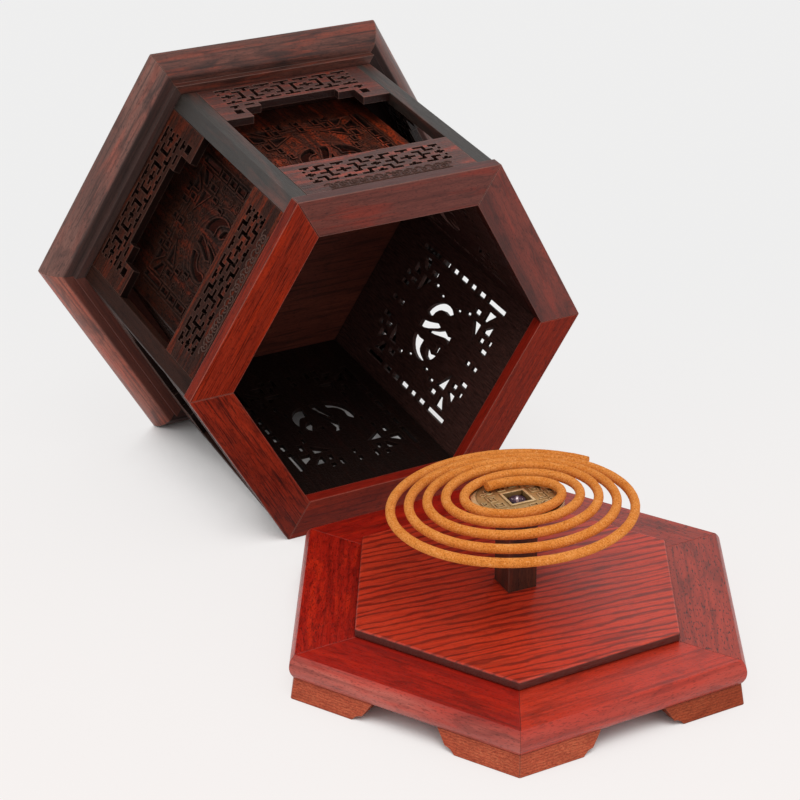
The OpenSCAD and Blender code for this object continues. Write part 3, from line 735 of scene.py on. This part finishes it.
# %% Wires
def wires(name, runs, thick):
    drawn = bpy.data.curves.new(name, "CURVE")
    drawn.dimensions = "3D"
    drawn.bevel_depth = thick / 2 * MM
    drawn.bevel_resolution = 1
    drawn.use_fill_caps = True
    for run in runs:
        spline = drawn.splines.new("POLY")
        spline.points.add(len(run) - 1)
        for point, place in zip(spline.points, run):
            point.co = (*place, 1)
    made = bpy.data.objects.new(name, drawn)
    bpy.context.scene.collection.objects.link(made)
    pick(made)
    bpy.ops.object.convert(target="MESH")
    bpy.ops.object.shade_smooth_by_angle(angle=radians(50))
    return bpy.context.active_object


# %% Rings and scrolls on the panel
INNER_RING, INNER_PAIR, OUTER_RING, OUTER_PAIR, RING_GAP_AT = 12.6, 2.3, 25.2, 2.2, 35
FRAME_IN, FRAME_OUT, FRAME_UP, CARVED_THICK = 20.4, 24.9, 28.6, 0.62
# Curls go round the middle in two rows, by distance and size, and fill the corners, by place and size
ROUND, ROUND_CURLS = 20, ((17.3, 1.7), (21.6, 1.9))
CORNER_CURLS = (((17.6, 23.4), 1.9), ((14.4, 25.6), 1.5), ((18.0, 18.8), 1.6))
carving = [arc(INNER_RING, 0, 360), arc(INNER_RING + INNER_PAIR, 0, 360)]
for ring in (OUTER_RING, OUTER_RING + OUTER_PAIR):
    carving += [arc(ring, RING_GAP_AT, 180 - RING_GAP_AT), arc(ring, -RING_GAP_AT, RING_GAP_AT - 180)]
for edge in (FRAME_IN, FRAME_OUT):
    carving += [straight((edge, -FRAME_UP), (edge, FRAME_UP)), straight((-edge, -FRAME_UP), (-edge, FRAME_UP))]
for edge in (FRAME_UP, -FRAME_UP):
    carving.append(straight((-FRAME_OUT, edge), (FRAME_OUT, edge)))
for k in range(ROUND):
    angle = radians(360 / ROUND * (k + 0.5))
    for radius, size in ROUND_CURLS:
        at = (radius * cos(angle), radius * sin(angle))
        carving.append(curl(at, size, 360 / ROUND * k, hand=1 if k % 2 else -1))
for right in (1, -1):
    for top in (1, -1):
        for at, size in CORNER_CURLS:
            carving.append(curl((right * at[0], top * at[1]), size, 90 * top, turns=1.8, hand=right * top))
runs = [[on_side(u, MOTIF_UP + v, PANEL_FACE) for u, v in run]
        for line in carving for run in kept_runs(line, is_wood)]
relief = wires("panel_relief", runs, CARVED_THICK)
pick(relief, rims)
bpy.ops.object.join()
carved = bpy.context.active_object
print(len(runs), "carved lines,", len(carved.data.polygons), "faces on each panel")
copied_round(carved, "panel_carving", {side: nodes[f"inner_panel_{side}"].data.materials[0] for side in SIDES})

# %% [markdown]
# Below each lower row of frets runs a narrow band of carved scrolls, 4 mm high: a wave of curls that mirrors about
# the middle of the side, with short leaves between. The lines are half-sunk wires again. The band has its own
# darker wood with hardly any shine, because its curved lines would catch the white sky and turn grey.

# %% Scroll bands under the lower frets
BAND_LOW, BAND_END, BAND_THICK, CURLS, CURL_STEP = 5.9, 0.4, 0.56, 6, 3.6
EYE_ASIDE, EYE_UP, CURL_SIZE, CURL_TURNS = 1.9, 1.9, 1.7, 1.4
LEAF_UP, LEAF_SIZE, BUD_UP, BUD_SIZE, FINE_STEP = 2.5, 1.5, 2.9, 1.1, 0.3
band = []
for hand in (1, -1):
    for k in range(CURLS):
        # Curls cut by hand are never quite alike, so each differs a little in size, start and length
        uneven = sin(7.3 * k + 2 * hand)
        at = (hand * (EYE_ASIDE + CURL_STEP * k), BAND_LOW + EYE_UP)
        band.append(curl(
            at, CURL_SIZE + 0.2 * uneven, -90 + 24 * uneven, turns=CURL_TURNS + 0.2 * uneven, hand=hand))
        leaf_at = (at[0] + hand * CURL_STEP / 2, BAND_LOW + LEAF_UP)
        band.append(arc(LEAF_SIZE, 20, 160, step=FINE_STEP, at=leaf_at))
    band.append(straight((0, BAND_LOW), (hand * (CURL_STEP * CURLS + BAND_END), BAND_LOW)))
band.append(arc(BUD_SIZE, 0, 180, step=FINE_STEP, at=(0, BAND_LOW + BUD_UP)))
scrolls = wires("scroll_band", [[on_side(u, v, WALL_FACE) for u, v in line] for line in band], BAND_THICK)
BAND = ("#2E1813", "#140A08", "#44251D", "#6A2C1C")
band_wood = rosewood(
    "waxed_dark_scrolls", laid(sideways(6)), laid(outward(6)), BAND, cut=0.0, gloss=0.5, shine=0.08)
copied_round(scrolls, "scroll_band", dict.fromkeys(SIDES, band_wood))

# %% [markdown]
# The incense is a paste of wood powder, pushed through a nozzle and wound by hand while soft. The stick is 3 mm
# thick and has a dry, sandy skin. Its path is the one the construction model winds, so it is drawn as a curve
# through those points, given its thickness, turned to a mesh and roughened.

# %% The coil's path
# All in mm, apart from the turns: the stick rests on the plate, and beyond the plate each turn hangs lower
STICK, COIN_R, COIN_TOP = 3.0, 14.5, 48.8
TURNS, TIP, PITCH, INSET, SAG, GAP, TIP_GAP = 4.84, 0.39, 5.65, 2.6, 1.5, 0.3, 0.6
OVAL, OVAL_TURN, FORWARD = 2.2, radians(21), 2.6
STEPS_PER_TURN = 240
FIRST = COIN_R - INSET
flat_turns = max(0.0, (COIN_R + STICK / 2 + GAP - FIRST + OVAL + FORWARD) / PITCH)
tip_radius = FIRST + PITCH * (1 - TIP) - STICK - TIP_GAP
flare = (tip_radius - FIRST + PITCH * TIP) / TIP ** 2


def coil_point(t):
    mean = FIRST + PITCH * t + (flare * t * t if t < 0 else 0)
    angle = -2 * pi * t
    return Vector((
        mean * cos(angle) + OVAL * cos(2 * OVAL_TURN - angle),
        mean * sin(angle) + OVAL * sin(2 * OVAL_TURN - angle) - FORWARD,
        COIN_TOP + GAP + STICK / 2 - SAG * max(0.0, t - flat_turns))) * MM


count = round((TURNS + TIP) * STEPS_PER_TURN)
path = [coil_point(-TIP + (TURNS + TIP) * k / count) for k in range(count + 1)]
length = sum((b - a).length for a, b in zip(path, path[1:]))
print("the stick is", round(length / MM), "mm long")

# %% The coil
SAND_MM, ROUGH_MM = 0.9, 0.16
wound = bpy.data.curves.new("coil_path", "CURVE")
wound.dimensions = "3D"
line = wound.splines.new("POLY")
line.points.add(count)
for point, place in zip(line.points, path):
    point.co = (*place, 1)
wound.bevel_depth = STICK / 2 * MM
wound.bevel_resolution = 8
wound.use_fill_caps = True
coil = bpy.data.objects.new("coil", wound)
bpy.context.scene.collection.objects.link(coil)
pick(coil)
bpy.ops.object.convert(target="MESH")
coil = bpy.context.active_object
sand = bpy.data.textures.new("sandy_skin", "CLOUDS")
sand.noise_scale = SAND_MM * MM
rough = coil.modifiers.new("rough", "DISPLACE")
rough.texture = sand
rough.texture_coords = "GLOBAL"
rough.strength = ROUGH_MM * MM
rough.mid_level = 0.5
pick(coil)
bpy.ops.object.modifier_apply(modifier="rough")
bpy.ops.object.shade_smooth_by_angle(angle=radians(60))
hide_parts("incense_coil")
finish(coil, "wound_incense", "incense_coil")

# %% [markdown]
# Dry incense scatters light and has no shine at all. Grains of bark and powder show as specks 0.3 to 1 mm across,
# some darker and some paler than the tan paste. One noise gives both kinds: its low values are the dark specks and
# its high ones the pale specks. A second, broader one varies the tan.

# %% Incense paste
# Noise with this many steps in a metre has grains of about 0.5 mm and patches of about 6 mm
GRAINS, PATCHES = 1900.0, 160.0
paste, tree = new_material("dry_incense_paste")
place = add(tree, "ShaderNodeTexCoord").outputs["Object"]
grain = add(tree, "ShaderNodeTexNoise", {
    "Vector": place, "Scale": GRAINS, "Detail": 3.0, "Roughness": 0.65}).outputs[0]
patch = add(tree, "ShaderNodeTexNoise", {"Vector": place, "Scale": PATCHES, "Detail": 2.0}).outputs[0]
dark_part = add(tree, "ShaderNodeMapRange", {
    "Value": grain, "From Min": 0.47, "From Max": 0.34, "To Max": 0.75}).outputs[0]
pale_part = add(tree, "ShaderNodeMapRange", {
    "Value": grain, "From Min": 0.54, "From Max": 0.70, "To Max": 0.7}).outputs[0]
tan_part = add(tree, "ShaderNodeMapRange", {"Value": patch, "From Min": 0.35, "From Max": 0.65}).outputs[0]
mixed = colour("#DA8030")
for share, tone in ((tan_part, "#E48E40"), (dark_part, "#A4561A"), (pale_part, "#F4B474")):
    mixed = add(tree, "ShaderNodeMix", {0: share, 6: mixed, 7: colour(tone)}, data_type="RGBA").outputs[2]
rise = add(tree, "ShaderNodeBump", {"Strength": 0.7, "Distance": 0.12 * MM, "Height": grain}).outputs[0]
skin = add(tree, "ShaderNodeBsdfPrincipled", {
    "Base Color": mixed, "Roughness": 0.92, "Normal": rise, "Specular IOR Level": 0.2})
add(tree, "ShaderNodeOutputMaterial", {"Surface": skin.outputs[0]})
coil.data.materials.clear()
coil.data.materials.append(paste)
print("the coil has its paste")

# %% [markdown]
# The plate is cast brass that has gone olive with handling: bright on the rims and on anything raised, and dull in
# the hollows. The screw in its middle is plated steel, dark, with a painted highlight: bright near its middle and
# in
# its recess. Both are one build of nodes: a level, which is the height for the plate and the distance from the
# axis for the screw, says where the plate is rubbed and where the screw's painted highlight lies.

# %% Metal
STAIN_DETAIL, PATINA_AND_GLINT_MM, GRIT_MM, METALLIC = 4.0, 0.7, 0.05, 0.75


def metal(name, bright, dull, hollow_grime_and_glint, roughness, size, low, high, from_axis=False):
    material, tree = new_material(name)
    place = add(tree, "ShaderNodeTexCoord").outputs["Object"]
    if from_axis:
        level = add(tree, "ShaderNodeVectorMath", {0: place, 1: (1, 1, 0)}, operation="MULTIPLY").outputs[0]
        level = add(tree, "ShaderNodeVectorMath", {0: level}, operation="LENGTH").outputs["Value"]
    else:
        level = add(tree, "ShaderNodeSeparateXYZ", {0: place}).outputs[2]
    # The brass is bright where raised; the screw is painted bright near its axis, a highlight
    raised = add(tree, "ShaderNodeMapRange", {
        "Value": level, "From Min": low * MM, "From Max": high * MM}).outputs[0]
    spots = add(tree, "ShaderNodeTexNoise", {
        "Vector": place, "Scale": 1 / (size * MM), "Detail": STAIN_DETAIL, "Roughness": 0.6}).outputs[0]
    stain = add(tree, "ShaderNodeMapRange", {
        "Value": spots, "From Min": 0.35, "From Max": 0.65, "To Min": 0.0, "To Max": 0.8}).outputs[0]
    rubbed_and_glinting = add(tree, "ShaderNodeMath", {
        0: raised, 1: stain}, operation="SUBTRACT", use_clamp=True).outputs[0]
    # Hollows take the third tone: dark patina on the brass, a painted highlight in the screw's recess
    open_air = add(tree, "ShaderNodeAmbientOcclusion", {"Distance": PATINA_AND_GLINT_MM * MM}, samples=4).outputs["AO"]
    open_air = add(tree, "ShaderNodeMapRange", {
        "Value": open_air, "From Min": 0.50, "From Max": 0.95}).outputs[0]
    mixed = add(tree, "ShaderNodeMix", {
        0: rubbed_and_glinting, 6: colour(dull), 7: colour(bright)}, data_type="RGBA").outputs[2]
    mixed = add(tree, "ShaderNodeMix", {
        0: open_air, 6: colour(hollow_grime_and_glint), 7: mixed}, data_type="RGBA").outputs[2]
    rough = add(tree, "ShaderNodeMapRange", {
        "Value": spots, "From Min": 0.3, "From Max": 0.7,
        "To Min": roughness - 0.08, "To Max": roughness + 0.12}).outputs[0]
    rise = add(tree, "ShaderNodeBump", {
        "Strength": 0.4, "Distance": GRIT_MM * MM, "Height": spots}).outputs[0]
    skin = add(tree, "ShaderNodeBsdfPrincipled", {
        "Base Color": mixed, "Roughness": rough, "Normal": rise, "Metallic": METALLIC})
    add(tree, "ShaderNodeOutputMaterial", {"Surface": skin.outputs[0]})
    return material


# On the screw this distance places the painted highlight in its recess
print("hands reach metal that is open over", PATINA_AND_GLINT_MM, "mm")

# %% Brass and steel
brass = metal("old_cast_brass", "#FFE2B0", "#C8A26C", "#4A3820", 0.42, 1.2, 48.3, 48.75)
dress("coin_plate", brass)
# The screw: dark, painted bright near its axis and near white in its recess, a painted highlight
dress("coin_screw", metal(
    "plated_steel", "#A890A4", "#44364E", "#FFF2F2", 0.3, 0.8, 2.2, 0.6, from_axis=True))
print("the plate and the screw have their metal")

# %% [markdown]
# Between the hole and the rim the plate carries a cast pattern of squared spirals, an old ornament that stands for
# thunder and rain, with small curls between. The lines are 0.6 mm wide and were rubbed bright. They are wires
# again, half sunk in the plate's field, and they stop short of the rim.

# %% The plate's relief
FIELD_UP, FIELD_R, PLATE_TURN, CAST_THICK = 48.4, 12.4, radians(26), 0.6
# Each squared spiral in a quarter: how far out, how far aside, and its size, in mm
SPIRALS = ((7.4, -2.1, 3.4), (7.4, 2.1, 3.4), (10.9, 0.0, 2.0))
CORNER_AT, CORNER_SIZE, DROPS_AT, DROP_SIZE = (6.9, 6.9), 1.7, ((9.2, 5.4), (5.4, 9.2)), 0.8


def on_plate(x, y):
    return Vector((x * cos(PLATE_TURN) - y * sin(PLATE_TURN),
                   x * sin(PLATE_TURN) + y * cos(PLATE_TURN), FIELD_UP)) * MM


def squared_spiral(at, size, quarter):
    corners, here, reach = [], Vector((-size / 2, -size / 2)), size
    for k in range(7):
        corners.append(here.copy())
        here = here + Vector(((1, 0), (0, 1), (-1, 0), (0, -1))[k % 4]) * reach
        if k % 2:
            reach -= size * 0.27
    turned = Matrix.Rotation(quarter * pi / 2, 2)
    corners = [turned @ corner + Vector(at) for corner in corners]
    return [point for a, b in zip(corners, corners[1:]) for point in straight(a, b, 0.4)]


cast = []
for quarter in range(4):
    turned = Matrix.Rotation(quarter * pi / 2, 2)
    for away, aside, size in SPIRALS:
        cast.append(squared_spiral(turned @ Vector((away, aside)), size, quarter + (aside > 0)))
    cast.append(curl(turned @ Vector(CORNER_AT), CORNER_SIZE, 90 * quarter, turns=1.7))
    for drop_at in DROPS_AT:
        cast.append(arc(DROP_SIZE, 0, 360, step=FINE_STEP, at=turned @ Vector(drop_at)))
runs = [[on_plate(*point) for point in run]
        for line in cast for run in kept_runs(line, lambda x, y: (x * x + y * y) ** 0.5 < FIELD_R)]
plate_relief = wires("plate_relief", runs, CAST_THICK)
plate_relief.data.materials.clear()
plate_relief.data.materials.append(brass)
finish(plate_relief, "plate_relief", "base")
